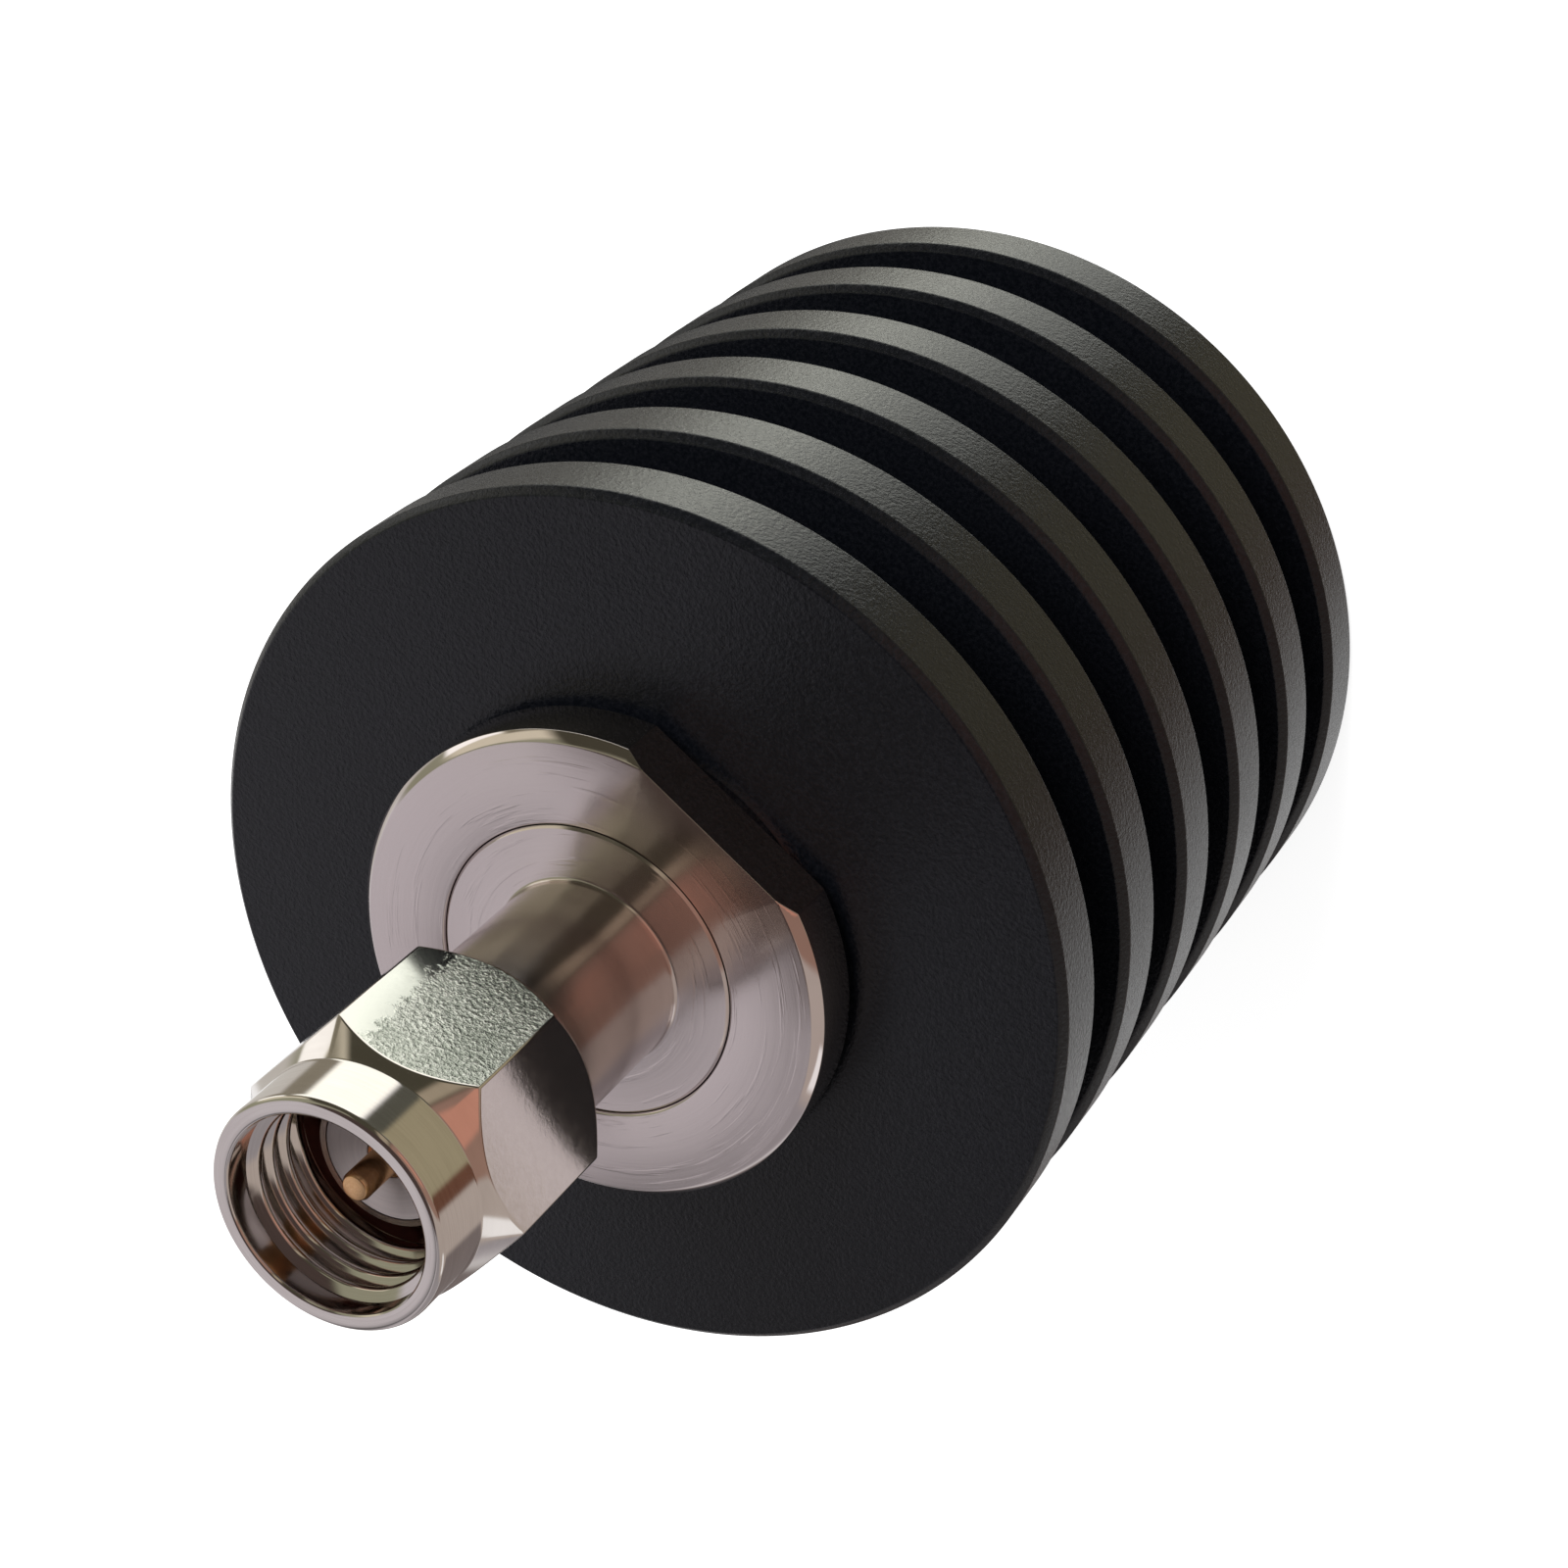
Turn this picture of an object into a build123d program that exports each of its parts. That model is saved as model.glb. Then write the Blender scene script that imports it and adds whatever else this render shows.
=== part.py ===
"""Finned coaxial terminator: a plug with a free-spinning coupling nut on a round heatsink.

Millimetres, +Z up. The part stands on the flat rear face of its heatsink, the origin is the
centre of that face, and the plug points up. The wrench flats of the clamp flange face -Y and +Y.
"""

import os
from math import cos, radians, tan

from build123d import *

# Connector body, whose barrel shares one nominal diameter with the coupling thread
nominal_diameter = 6.35
barrel_wall = 1.125
barrel_fillet = 0.15
barrel_lip_length = 0.7
head_diameter = 10.0
collar_step = 0.65
collar_height = 2.0
joint_chamfer = 0.08
spigot_wall = 0.245
spigot_length = 2.0
spigot_chamfer = 0.06
gasket_neck_step = 0.205
gasket_neck_spare = 0.1
bead_shoulder = 0.95

# Clamp flange, screwed into the heatsink
flange_shank_wall = 0.85
flange_rim = 1.6
flange_height = 2.5
flange_chamfer = 0.3
flange_flat_depth = 0.8
flange_foot_step = 0.1
flange_foot_height = 0.4
flange_shank_length = 4.5
flange_seat_depth = 3.5

# Heatsink, turned from one black anodised aluminium bar
heatsink_diameter = 30.0
heatsink_core_wall = 3.0
fin_count = 6
fin_thickness = 2.6
fin_gap = 2.6
fin_edge_chamfer = 0.25
load_bore_step = 1.0
load_bore_depth = 22.0
thread_runout = 0.5
thread_entry_chamfer = 0.3

# Coupling nut
nut_nose_wall = 0.575
nut_nose_step = 0.25
nut_nose_length = 2.1
nut_nose_edge = 0.2
nut_rear_step = 0.05
nut_rear_land = 0.6
nut_cone_angle = 50.0
nut_thread_length = 3.8
nut_overhang = 3.2
nut_bore_chamfer = 0.15
nut_rest_turn = 22.6

# Retaining ring and gasket
ring_reach = 0.325
ring_groove_depth = 0.525
ring_floor_gap = 0.3
ring_thickness = 0.5
ring_play = 0.15
ring_opening = 1.2
gasket_width = 0.55
gasket_thickness = 0.7

# Coaxial line
barrel_exposed_length = 6.5
pin_tip_diameter = 0.92
pin_tip_length = 1.7
pin_tip_taper = 0.15
line_conductor_diameter = 1.27
pin_collar_diameter = 2.0
pin_collar_height = 0.6
pin_tail_diameter = 0.8
pin_tail_length = 2.2
bead_thickness = 1.6
bead_retainer_thickness = 0.9

# Load behind the connector
shelf_spare = 2.6
cavity_side_wall = 0.4
cavity_height = 3.6
chip_side_gap = 0.3
substrate_thickness = 0.64
solder_thickness = 0.05
film_thickness = 0.03
film_margin = 0.6
film_length = 4.2
pad_width = 1.6
input_pad_length = 1.6
ground_pad_length = 1.2
chip_gap = 0.2
tab_width = 0.9
tab_thickness = 0.1
tab_on_pad = 1.2
tab_on_tail = 1.2
tail_flat_height = 0.2
screw_diameter = 1.2
screw_head_diameter = 2.2
screw_head_height = 0.8
screw_head_top = 1.5
screw_head_margin = 0.27
screw_slot_width = 0.3
screw_slot_depth = 0.35
screw_hole_depth = 1.5
screw_hole_spare = 0.2

# Clearances
slip_fit = 0.03
thread_fit = 0.05
nut_running_fit = 0.075
ring_groove_fit = 0.05

# Diameters of the connector, each built up from the one inside or outside it
barrel_diameter = nominal_diameter
line_bore_diameter = barrel_diameter - 2 * barrel_wall
spigot_diameter = line_bore_diameter + 2 * spigot_wall
gasket_neck_diameter = spigot_diameter + 2 * gasket_neck_step
gasket_outer_diameter = gasket_neck_diameter + 2 * gasket_width
ring_groove_diameter = barrel_diameter - 2 * ring_groove_depth
ring_inner_diameter = ring_groove_diameter + 2 * ring_floor_gap
ring_outer_diameter = barrel_diameter + 2 * ring_reach
bead_diameter = line_bore_diameter + 2 * bead_shoulder
collar_diameter = head_diameter + 2 * collar_step

# Diameters of the nut
nut_thread_diameter = nominal_diameter
nut_bore_diameter = barrel_diameter + 2 * nut_running_fit
nut_nose_diameter = nut_thread_diameter + 2 * nut_nose_wall
nut_across_flats = nut_nose_diameter + 2 * nut_nose_step
nut_rear_diameter = nut_across_flats - 2 * nut_rear_step

# Diameters of the flange, the heatsink and the load's carrier
flange_thread_diameter = collar_diameter + 2 * flange_shank_wall
flange_diameter = flange_thread_diameter + 2 * flange_rim
flange_across_flats = flange_diameter - 2 * flange_flat_depth
flange_foot_diameter = flange_across_flats - 2 * flange_foot_step
fin_root_diameter = flange_thread_diameter + 2 * heatsink_core_wall
load_bore_diameter = flange_thread_diameter - 2 * load_bore_step
carrier_diameter = load_bore_diameter - 2 * slip_fit

# Widths across the load's cavity
screw_spacing = carrier_diameter - screw_head_diameter - 2 * screw_head_margin
cavity_width = screw_spacing - screw_head_diameter - 2 * cavity_side_wall
substrate_width = cavity_width - 2 * chip_side_gap
film_width = substrate_width - 2 * film_margin

# Heights of the heatsink, the flange and the body's rear
heatsink_length = fin_count * fin_thickness + (fin_count - 1) * fin_gap
flange_face = heatsink_length + flange_height
flange_seat = flange_face - flange_seat_depth
shank_end = heatsink_length - flange_shank_length
flange_thread_depth = flange_shank_length + thread_runout
body_rear = flange_seat - collar_height
bead_bore_depth = bead_thickness + bead_retainer_thickness
bead_front = body_rear + bead_bore_depth
bore_floor = heatsink_length - load_bore_depth

# Heights of the plug, from the nut's rear face to its front
nut_rear = flange_face + barrel_exposed_length
ring_groove_bottom = nut_rear + nut_rear_land
ring_bottom = ring_groove_bottom + ring_play
ring_groove_width = ring_thickness + 2 * ring_play
gasket_seat = ring_groove_bottom + ring_groove_width + barrel_lip_length
gasket_neck_length = gasket_thickness + gasket_neck_spare
spigot_root = gasket_seat + gasket_neck_length
mating_plane = spigot_root + spigot_length
nut_front = mating_plane + nut_overhang
nut_length = nut_front - nut_rear

# Places of the chip, from the pin's tail down
tab_underside = -tail_flat_height - tab_thickness
shelf_height = tab_underside - film_thickness - substrate_thickness - solder_thickness
chip_bottom = shelf_height + solder_thickness
chip_face = chip_bottom + substrate_thickness
tail_end = body_rear - pin_tail_length
chip_top = tail_end - chip_gap
film_top = chip_top - input_pad_length
film_bottom = film_top - film_length
chip_end = film_bottom - ground_pad_length
shelf_bottom = chip_end - shelf_spare
shelf_length = body_rear - shelf_bottom
screw_level = shelf_bottom + shelf_length / 2
screw_seat = screw_head_top - screw_head_height

os.makedirs("parts", exist_ok=True)


# Heatsink: one revolved comb of fins with a stepped bore from the front
with BuildPart() as heatsink:
    with BuildSketch(Plane.XZ):
        with BuildLine():
            outline = [(0, 0)]
            for fin in range(fin_count):
                fin_bottom = fin * (fin_thickness + fin_gap)
                fin_top = fin_bottom + fin_thickness
                outer = heatsink_diameter / 2
                if fin > 0:
                    outline.append((fin_root_diameter / 2, fin_bottom))
                outline.append((outer - fin_edge_chamfer, fin_bottom))
                outline.append((outer, fin_bottom + fin_edge_chamfer))
                outline.append((outer, fin_top - fin_edge_chamfer))
                outline.append((outer - fin_edge_chamfer, fin_top))
                if fin < fin_count - 1:
                    outline.append((fin_root_diameter / 2, fin_top))
            outline.append((0, heatsink_length))
            Polyline(*outline, close=True)
        make_face()
    revolve(axis=Axis.Z)
    with Locations((0, 0, heatsink_length)):
        Hole(radius=load_bore_diameter / 2, depth=load_bore_depth)
        Hole(radius=flange_thread_diameter / 2 + thread_fit, depth=flange_thread_depth)
    front_circles = heatsink.faces().sort_by(Axis.Z)[-1].edges().filter_by(GeomType.CIRCLE)
    chamfer(front_circles.sort_by(SortBy.RADIUS)[0], thread_entry_chamfer)
heatsink.part.label = "heatsink"

# Clamp flange: a turned ring with two wrench flats, a narrower foot and a threaded shank
with BuildPart() as clamp_flange:
    with BuildSketch(Plane.XY.offset(heatsink_length + flange_foot_height)):
        Circle(flange_diameter / 2)
    extrude(amount=flange_height - flange_foot_height)
    chamfer(clamp_flange.faces().sort_by(Axis.Z)[-1].edges(), flange_chamfer)
    with BuildSketch(Plane.XY.offset(heatsink_length)):
        Rectangle(flange_diameter, flange_across_flats)
    extrude(amount=flange_height, mode=Mode.INTERSECT)
    with BuildSketch(Plane.XY.offset(heatsink_length)):
        Circle(flange_foot_diameter / 2)
    extrude(amount=flange_foot_height)
    with BuildSketch(Plane.XY.offset(heatsink_length)):
        Circle(flange_thread_diameter / 2)
    extrude(amount=-flange_shank_length)
    with Locations((0, 0, flange_face)):
        Hole(radius=head_diameter / 2 + slip_fit)
    with BuildSketch(Plane.XY.offset(flange_seat)):
        Circle(collar_diameter / 2 + slip_fit)
    extrude(amount=shank_end - flange_seat, mode=Mode.SUBTRACT)
    face_circles = clamp_flange.faces().sort_by(Axis.Z)[-1].edges().filter_by(GeomType.CIRCLE)
    chamfer(face_circles.sort_by(SortBy.RADIUS)[0], joint_chamfer)
clamp_flange.part.label = "clamp_flange"

# Connector body: head, barrel and spigot turned as one, with the line bored through
with BuildPart() as connector_body:
    with BuildSketch(Plane.XY.offset(body_rear)):
        Circle(collar_diameter / 2)
    extrude(amount=collar_height)
    with BuildSketch(Plane.XY.offset(flange_seat)):
        Circle(head_diameter / 2)
    extrude(amount=flange_seat_depth)
    chamfer(connector_body.faces().sort_by(Axis.Z)[-1].edges(), joint_chamfer)
    with BuildSketch(Plane.XY.offset(flange_face)):
        Circle(barrel_diameter / 2)
    extrude(amount=gasket_seat - flange_face)
    barrel_foot = connector_body.edges().filter_by(GeomType.CIRCLE).filter_by(
        lambda edge: abs(edge.radius - barrel_diameter / 2) < slip_fit
    ).sort_by(Axis.Z)[0]
    fillet(barrel_foot, barrel_fillet)
    with BuildSketch(Plane.XY.offset(gasket_seat)):
        Circle(gasket_neck_diameter / 2)
    extrude(amount=gasket_neck_length)
    with BuildSketch(Plane.XY.offset(spigot_root)):
        Circle(spigot_diameter / 2)
    extrude(amount=spigot_length)
    chamfer(connector_body.faces().sort_by(Axis.Z)[-1].edges(), spigot_chamfer)
    with BuildSketch(Plane.XY.offset(ring_groove_bottom)):
        Circle(barrel_diameter / 2 + nut_running_fit)
        Circle(ring_groove_diameter / 2, mode=Mode.SUBTRACT)
    extrude(amount=ring_groove_width, mode=Mode.SUBTRACT)
    with Locations((0, 0, mating_plane)):
        Hole(radius=line_bore_diameter / 2)
    with BuildSketch(Plane.XY.offset(body_rear)):
        Circle(bead_diameter / 2 + slip_fit)
    extrude(amount=bead_bore_depth, mode=Mode.SUBTRACT)
connector_body.part.label = "connector_body"

# Coupling nut: a hexagon turned down to a round nose, bored for the barrel and the thread
nut_corner_radius = nut_across_flats / 2 / cos(radians(30))
cone_rise = tan(radians(nut_cone_angle))
nose_root = nut_front - nut_nose_length
hex_front = nose_root - (nut_corner_radius - nut_nose_diameter / 2) * cone_rise
hex_rear = nut_rear + (nut_corner_radius - nut_rear_diameter / 2) * cone_rise
with BuildPart() as coupling_nut:
    with BuildSketch(Plane.XY.offset(nut_rear)):
        RegularPolygon(nut_across_flats / 2, 6, major_radius=False, rotation=nut_rest_turn)
    extrude(amount=nut_length)
    with BuildSketch(Plane.XZ):
        with BuildLine():
            Polyline(
                (0, nut_rear),
                (nut_rear_diameter / 2, nut_rear),
                (nut_corner_radius, hex_rear),
                (nut_corner_radius, hex_front),
                (nut_nose_diameter / 2, nose_root),
                (nut_nose_diameter / 2, nut_front),
                (0, nut_front),
                close=True,
            )
        make_face()
    revolve(axis=Axis.Z, mode=Mode.INTERSECT)
    fillet(coupling_nut.faces().sort_by(Axis.Z)[-1].edges(), nut_nose_edge)
    with Locations((0, 0, nut_front)):
        Hole(radius=nut_thread_diameter / 2)
    with BuildSketch(Plane.XY.offset(nut_rear)):
        Circle(nut_bore_diameter / 2)
    extrude(amount=nut_length - nut_thread_length, mode=Mode.SUBTRACT)
    with BuildSketch(Plane.XY.offset(ring_bottom - ring_groove_fit)):
        Circle(ring_outer_diameter / 2 + ring_groove_fit)
    extrude(amount=ring_thickness + 2 * ring_groove_fit, mode=Mode.SUBTRACT)
    rear_circles = coupling_nut.faces().sort_by(Axis.Z)[0].edges().filter_by(GeomType.CIRCLE)
    chamfer(rear_circles.sort_by(SortBy.RADIUS)[0], nut_bore_chamfer)
coupling_nut.part.label = "coupling_nut"

# Retaining ring: an open snap ring that sits half in the barrel's groove and half in the nut's
with BuildPart() as retaining_ring:
    with BuildSketch(Plane.XY.offset(ring_bottom)):
        Circle(ring_outer_diameter / 2)
        Circle(ring_inner_diameter / 2, mode=Mode.SUBTRACT)
        with Locations((ring_outer_diameter / 2, 0)):
            Rectangle(ring_outer_diameter, ring_opening, mode=Mode.SUBTRACT)
    extrude(amount=ring_thickness)
retaining_ring.part.label = "retaining_ring"

# Interface gasket: a flat silicone washer round the neck behind the spigot
with BuildPart() as interface_gasket:
    with BuildSketch(Plane.XY.offset(gasket_seat)):
        Circle(gasket_outer_diameter / 2)
        Circle(gasket_neck_diameter / 2 + slip_fit, mode=Mode.SUBTRACT)
    extrude(amount=gasket_thickness)
interface_gasket.part.label = "interface_gasket"

# Centre pin: the contact, the line conductor, a collar held by the bead, and a flatted tail
with BuildPart() as centre_pin:
    with BuildSketch(Plane.XY.offset(mating_plane)):
        Circle(pin_tip_diameter / 2)
    extrude(amount=pin_tip_length)
    chamfer(centre_pin.faces().sort_by(Axis.Z)[-1].edges(), pin_tip_taper, pin_tip_taper / 2)
    with BuildSketch(Plane.XY.offset(body_rear)):
        Circle(line_conductor_diameter / 2)
    extrude(amount=mating_plane - body_rear)
    with BuildSketch(Plane.XY.offset(bead_front)):
        Circle(pin_collar_diameter / 2)
    extrude(amount=pin_collar_height)
    with BuildSketch(Plane.XY.offset(tail_end)):
        Circle(pin_tail_diameter / 2)
        with Locations((0, -tail_flat_height)):
            Rectangle(
                pin_tail_diameter,
                pin_tail_diameter,
                align=(Align.CENTER, Align.MAX),
                mode=Mode.SUBTRACT,
            )
    extrude(amount=pin_tail_length)
centre_pin.part.label = "centre_pin"

# Front dielectric: the white sleeve that fills the line from the mating plane to the bead
with BuildPart() as front_dielectric:
    with BuildSketch(Plane.XY.offset(bead_front)):
        Circle(line_bore_diameter / 2 - slip_fit)
        Circle(line_conductor_diameter / 2 + slip_fit, mode=Mode.SUBTRACT)
    extrude(amount=mating_plane - bead_front)
    with BuildSketch(Plane.XY.offset(bead_front)):
        Circle(pin_collar_diameter / 2 + slip_fit)
    extrude(amount=pin_collar_height + slip_fit, mode=Mode.SUBTRACT)
front_dielectric.part.label = "front_dielectric"

# Support bead and the ring that is pressed in behind it
with BuildPart() as support_bead:
    with BuildSketch(Plane.XY.offset(bead_front)):
        Circle(bead_diameter / 2)
        Circle(line_conductor_diameter / 2 + slip_fit, mode=Mode.SUBTRACT)
    extrude(amount=-bead_thickness)
support_bead.part.label = "support_bead"

with BuildPart() as bead_retainer:
    with BuildSketch(Plane.XY.offset(body_rear)):
        Circle(bead_diameter / 2)
        Circle(line_bore_diameter / 2, mode=Mode.SUBTRACT)
    extrude(amount=bead_bore_depth - bead_thickness)
bead_retainer.part.label = "bead_retainer"

# Load carrier: a copper plug whose front half is milled away to a shelf for the ceramic chip
with BuildPart() as load_carrier:
    with BuildSketch(Plane.XY.offset(bore_floor)):
        Circle(carrier_diameter / 2)
    extrude(amount=body_rear - bore_floor)
    with BuildSketch(Plane.XY.offset(shelf_bottom)):
        with Locations((0, shelf_height)):
            Rectangle(carrier_diameter, carrier_diameter, align=(Align.CENTER, Align.MIN))
    extrude(amount=shelf_length, mode=Mode.SUBTRACT)
    with BuildSketch(Plane.XZ.offset(-shelf_height)):
        with Locations((0, screw_level)):
            with GridLocations(screw_spacing, 1, 2, 1):
                Circle(screw_diameter / 2 + slip_fit)
    extrude(amount=screw_hole_depth, mode=Mode.SUBTRACT)
load_carrier.part.label = "load_carrier"

# Load cover: the matching half that closes the cavity over the chip
with BuildPart() as load_cover:
    with BuildSketch(Plane.XY.offset(shelf_bottom)):
        Circle(carrier_diameter / 2)
        with Locations((0, shelf_height)):
            Rectangle(
                carrier_diameter,
                carrier_diameter,
                align=(Align.CENTER, Align.MAX),
                mode=Mode.SUBTRACT,
            )
            Rectangle(
                cavity_width,
                cavity_height - shelf_height,
                align=(Align.CENTER, Align.MIN),
                mode=Mode.SUBTRACT,
            )
    extrude(amount=shelf_length)
    with BuildSketch(Plane.XZ.offset(-shelf_height)):
        with Locations((0, screw_level)):
            with GridLocations(screw_spacing, 1, 2, 1):
                Circle(screw_diameter / 2 + slip_fit)
    extrude(amount=-carrier_diameter, mode=Mode.SUBTRACT)
    with BuildSketch(Plane.XZ.offset(-screw_seat)):
        with Locations((0, screw_level)):
            with GridLocations(screw_spacing, 1, 2, 1):
                Circle(screw_head_diameter / 2 + slip_fit)
    extrude(amount=-carrier_diameter, mode=Mode.SUBTRACT)
load_cover.part.label = "load_cover"

# Cover screws: two slotted cheese heads sunk below the cover's round outside
with BuildPart() as cover_screws:
    with BuildSketch(Plane.XZ.offset(-screw_seat)):
        with Locations((0, screw_level)):
            with GridLocations(screw_spacing, 1, 2, 1):
                Circle(screw_diameter / 2)
    extrude(amount=screw_seat - shelf_height + screw_hole_depth - screw_hole_spare)
    with BuildSketch(Plane.XZ.offset(-screw_seat)):
        with Locations((0, screw_level)):
            with GridLocations(screw_spacing, 1, 2, 1):
                Circle(screw_head_diameter / 2)
    extrude(amount=-screw_head_height)
    with BuildSketch(Plane.XZ.offset(-screw_head_top)):
        with Locations((0, screw_level)):
            with GridLocations(screw_spacing, 1, 2, 1):
                Rectangle(screw_slot_width, screw_head_diameter)
    extrude(amount=screw_slot_depth, mode=Mode.SUBTRACT)
cover_screws.part.label = "cover_screws"

# Ceramic chip: solder, substrate, resistor film and its two metal pads
with BuildPart() as chip_solder:
    with BuildSketch(Plane.XZ.offset(-shelf_height)):
        with Locations((0, chip_end)):
            Rectangle(substrate_width, chip_top - chip_end, align=(Align.CENTER, Align.MIN))
    extrude(amount=-solder_thickness)
chip_solder.part.label = "chip_solder"

with BuildPart() as ceramic_substrate:
    with BuildSketch(Plane.XZ.offset(-chip_bottom)):
        with Locations((0, chip_end)):
            Rectangle(substrate_width, chip_top - chip_end, align=(Align.CENTER, Align.MIN))
    extrude(amount=-substrate_thickness)
ceramic_substrate.part.label = "ceramic_substrate"

with BuildPart() as resistor_film:
    with BuildSketch(Plane.XZ.offset(-chip_face)):
        with Locations((0, film_bottom)):
            Rectangle(film_width, film_length, align=(Align.CENTER, Align.MIN))
    extrude(amount=-film_thickness)
resistor_film.part.label = "resistor_film"

with BuildPart() as input_pad:
    with BuildSketch(Plane.XZ.offset(-chip_face)):
        with Locations((0, film_top)):
            Rectangle(pad_width, input_pad_length, align=(Align.CENTER, Align.MIN))
    extrude(amount=-film_thickness)
input_pad.part.label = "input_pad"

with BuildPart() as ground_pad:
    with BuildSketch(Plane.YZ.offset(-substrate_width / 2)):
        with BuildLine():
            Polyline(
                (chip_face, film_bottom),
                (chip_face, chip_end),
                (shelf_height, chip_end),
                (shelf_height, chip_end - film_thickness),
                (chip_face + film_thickness, chip_end - film_thickness),
                (chip_face + film_thickness, film_bottom),
                close=True,
            )
        make_face()
    extrude(amount=substrate_width)
ground_pad.part.label = "ground_pad"

# Input tab: the gold strip from the pin's flatted tail to the input pad
with BuildPart() as input_tab:
    with BuildSketch(Plane.XZ.offset(-tab_underside)):
        with Locations((0, chip_top - tab_on_pad)):
            Rectangle(
                tab_width,
                tab_on_pad + chip_gap + tab_on_tail,
                align=(Align.CENTER, Align.MIN),
            )
    extrude(amount=-tab_thickness)
input_tab.part.label = "input_tab"

parts = [
    heatsink,
    clamp_flange,
    connector_body,
    coupling_nut,
    retaining_ring,
    interface_gasket,
    centre_pin,
    front_dielectric,
    support_bead,
    bead_retainer,
    load_carrier,
    load_cover,
    cover_screws,
    chip_solder,
    ceramic_substrate,
    resistor_film,
    input_pad,
    ground_pad,
    input_tab,
]
for piece in parts:
    export_step(piece.part, f"parts/{piece.part.label}.step")
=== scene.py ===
"""Looks of a finned coaxial terminator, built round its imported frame.

Metres, +Z along the coaxial axis. The part stands on the flat rear face of its heatsink and the
plug points up. Every visible piece is turned or milled anew at the frame's own sizes.
"""

import logging
import math
from dataclasses import dataclass
from enum import Enum
from typing import Any, Callable, ClassVar, Dict, List, Optional, Sequence, Tuple, Union

import bpy
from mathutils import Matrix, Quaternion, Vector


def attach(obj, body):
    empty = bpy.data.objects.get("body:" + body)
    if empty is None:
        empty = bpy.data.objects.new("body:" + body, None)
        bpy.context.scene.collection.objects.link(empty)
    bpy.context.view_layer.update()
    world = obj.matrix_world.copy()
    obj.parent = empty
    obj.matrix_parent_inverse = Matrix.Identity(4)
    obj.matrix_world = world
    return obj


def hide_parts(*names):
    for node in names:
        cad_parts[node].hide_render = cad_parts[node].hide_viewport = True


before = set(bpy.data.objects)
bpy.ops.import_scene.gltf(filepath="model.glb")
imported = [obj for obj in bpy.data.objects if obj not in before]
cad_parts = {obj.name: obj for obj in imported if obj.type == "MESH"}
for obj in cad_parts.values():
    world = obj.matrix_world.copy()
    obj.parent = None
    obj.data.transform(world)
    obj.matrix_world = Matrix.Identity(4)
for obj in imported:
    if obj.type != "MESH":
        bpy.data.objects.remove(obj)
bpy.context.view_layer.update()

MM = 0.001
LOG = logging.getLogger("terminator")

# The bend that makes an edge sharp, and the part of a normal that makes a face look up or down
SHARP = math.radians(30)
LEVEL = 0.9

# Lengths that count as nothing: between two stations, two points, and a cut and a point
NEAR = 0.01 * MM
WELD = 0.001 * MM
CUT_ERROR = 0.0005 * MM

# Faces across a broken edge and across a rounded one, and the profile of a round
EDGE_STEPS = 2
ROUND_STEPS = 5
ROUND = 0.5

# Degrees that the nut is turned at rest, from one of its corners to the next, and half round
REST_TURN = 22.6
CORNER_TURN = 60
HALF_TURN = 180

# Octaves of a noise, weights of its finer ones, and what keeps a division off the axis
OCTAVES = 3.0
SOFT, CRISP = 0.5, 0.6
AXIS_GAP = 1e-6

# The middle of a noise, which runs from 0 to 1
MIDDLE = 0.5

Piece = bpy.types.Object
Face = bpy.types.MeshPolygon
Span = Tuple[float, float]
Station = Tuple[float, float]
Colour = Tuple[float, float, float, float]
MADE: Dict[str, bpy.types.Material] = {}


class Body(Enum):
    """The two bodies of the frame that pieces ride on."""

    TERMINATOR = "terminator"
    NUT = "nut"


class Grain(Enum):
    """How a surface was left by its maker."""

    TURNED = "turned"
    MILLED = "milled"
    BLASTED = "blasted"
    MOULDED = "moulded"


def rgba(red: float, green: float, blue: float) -> Colour:
    """Returns an opaque linear colour."""
    return (red, green, blue, 1.0)


def direction(azimuth: float, elevation: float) -> Vector:
    """Returns the way out from the axis, by degrees from +X and over the horizon."""
    turn, tilt = math.radians(azimuth), math.radians(elevation)
    level = math.cos(tilt)
    return Vector((math.cos(turn) * level, math.sin(turn) * level, math.sin(tilt)))


def maths(operation: str, swapped: bool = False) -> Callable[["Wire", Any], "Wire"]:
    """Returns an operator that adds one Math node.

    Args:
        operation: The node's operation.
        swapped: True where the wire is the second of the two values.
    """

    def operator(wire: "Wire", other: Any = 0.0) -> "Wire":
        """Returns the result on the wire and the other value."""
        pair = (other, wire) if swapped else (wire, other)
        return wire.sheet.add("Math", dict(enumerate(pair)), operation=operation)

    return operator


class Wire:
    """An output socket that takes part in shader maths."""

    def __init__(self, sheet: "NodeSheet", socket: Optional[bpy.types.NodeSocket]) -> None:
        """Keeps the socket and the node tree that it belongs to."""
        self.sheet = sheet
        self.socket = socket

    __add__ = maths("ADD")
    __radd__ = maths("ADD", swapped=True)
    __sub__ = maths("SUBTRACT")
    __rsub__ = maths("SUBTRACT", swapped=True)
    __mul__ = maths("MULTIPLY")
    __truediv__ = maths("DIVIDE")
    __pow__ = maths("POWER")
    __abs__ = maths("ABSOLUTE")


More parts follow.
